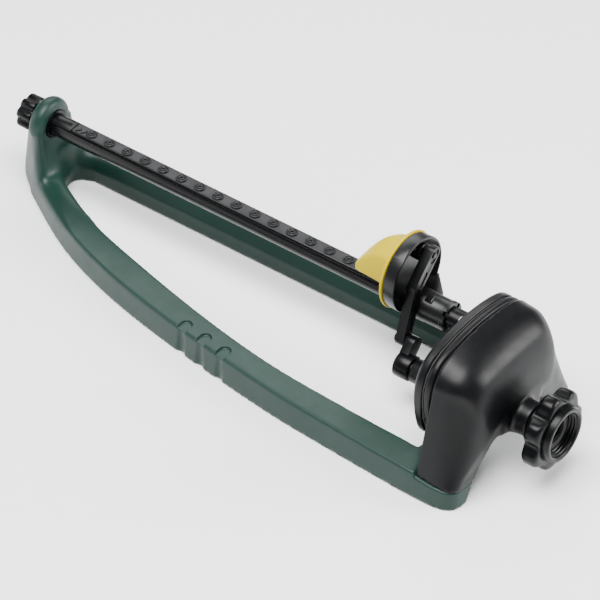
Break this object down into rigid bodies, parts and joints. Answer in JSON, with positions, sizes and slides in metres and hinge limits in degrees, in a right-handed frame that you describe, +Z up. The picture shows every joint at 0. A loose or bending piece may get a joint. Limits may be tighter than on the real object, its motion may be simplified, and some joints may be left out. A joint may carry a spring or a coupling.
{
  "type": "oscillating sprinkler",
  "caption": "Oscillating lawn sprinkler: a bow-shaped base, a turbine motor, and a crank and link that swing a spray tube with raised nozzles.",
  "frame": {"origin": "centre of the footprint, on the ground", "axes": "+X along the spray tube towards the hose coupling, +Y towards the straight back rail, +Z up"},
  "size_m": [0.4684, 0.1356, 0.1003],
  "materials": {
    "green_plastic": "dark green moulded plastic, satin, fine grain",
    "housing_plastic": "black moulded plastic, fine spark texture, satin",
    "black_plastic": "black moulded plastic, smooth, semi-gloss",
    "yellow_plastic": "yellow moulded plastic, smooth",
    "white_plastic": "natural white acetal, matte",
    "nozzle_rubber": "soft black rubber, matte",
    "rubber": "black seal rubber",
    "steel": "stainless steel, turned"
  },
  "bodies": {
    "base": {"base_frame": "green_plastic", "end_bearing_bush": "black_plastic", "housing_shell": "housing_plastic", "housing_back_plate": "housing_plastic", "housing_gasket": "rubber", "tube_bearing": "white_plastic", "tube_seal": "rubber", "shaft_seal": "rubber", "second_gear_axle": "steel", "first_gear_axle": "steel", "gear_plate_front": "white_plastic", "gear_plate_rear": "white_plastic", "jet_nozzle": "white_plastic", "inlet_filter": "white_plastic", "plate_screw_1": "steel", "plate_screw_2": "steel", "plate_screw_3": "steel", "plate_screw_4": "steel", "plate_screw_5": "steel", "base_screw_1": "steel", "base_screw_2": "steel"},
    "dial": {"dial_cup": "black_plastic", "range_dial": "yellow_plastic", "dial_pin": "black_plastic"},
    "tube": {"spray_tube": "black_plastic", "nozzle_strip": "nozzle_rubber"},
    "plug": {"clean_out_plug": "black_plastic", "plug_o_ring": "rubber", "cleaning_needle": "steel"},
    "crank": {"crank": "black_plastic", "output_shaft": "steel", "output_gear": "white_plastic"},
    "link": {"drive_link": "black_plastic"},
    "second_gear": {"second_gear": "white_plastic"},
    "first_gear": {"first_gear": "white_plastic"},
    "turbine": {"turbine": "white_plastic", "turbine_shaft": "steel"},
    "coupling": {"hose_coupling": "black_plastic", "hose_washer": "rubber"}
  },
  "joints": [
    {"name": "tube_swing", "type": "hinge", "parent": "base", "child": "dial", "pos_m": [0.1, 0.034, 0.053], "axis": [1, 0, 0], "range_deg": [-10, 40]},
    {"name": "range_set", "type": "hinge", "parent": "dial", "child": "tube", "pos_m": [0.1, 0.034, 0.053], "axis": [1, 0, 0], "range_deg": [-45, 45]},
    {"name": "plug_pull", "type": "slide", "parent": "tube", "child": "plug", "axis": [-1, 0, 0], "range_m": [0, 0.045]},
    {"name": "crank_turn", "type": "hinge", "parent": "base", "child": "crank", "pos_m": [0.108, 0.003, 0.028], "axis": [1, 0, 0], "range_deg": [-35, 9]},
    {"name": "link_swing", "type": "hinge", "parent": "crank", "child": "link", "pos_m": [0.0995, 0.0125, 0.0385], "axis": [1, 0, 0], "range_deg": [-16, 64]},
    {"name": "second_gear_turn", "type": "hinge", "parent": "base", "child": "second_gear", "pos_m": [0.172, 0.00556, 0.03756], "axis": [1, 0, 0], "range_deg": [-16, 61]},
    {"name": "first_gear_turn", "type": "hinge", "parent": "base", "child": "first_gear", "pos_m": [0.177, 0.00423, 0.0528], "axis": [1, 0, 0], "range_deg": [-197, 50]},
    {"name": "turbine_turn", "type": "hinge", "parent": "base", "child": "turbine", "pos_m": [0.187, -0.00902, 0.06045], "axis": [1, 0, 0], "range_deg": [-160, 638]},
    {"name": "coupling_swivel", "type": "hinge", "parent": "base", "child": "coupling", "pos_m": [0.225, 0, 0.0383], "axis": [1, 0, 0], "continuous": true}
  ],
  "couplings": [
    {"joint": "crank_turn", "follows": "tube_swing", "ratio": -0.862},
    {"joint": "link_swing", "follows": "tube_swing", "ratio": 1.588},
    {"joint": "second_gear_turn", "follows": "tube_swing", "ratio": 1.5085},
    {"joint": "first_gear_turn", "follows": "tube_swing", "ratio": -4.9026},
    {"joint": "turbine_turn", "follows": "tube_swing", "ratio": 15.934}
  ]
}
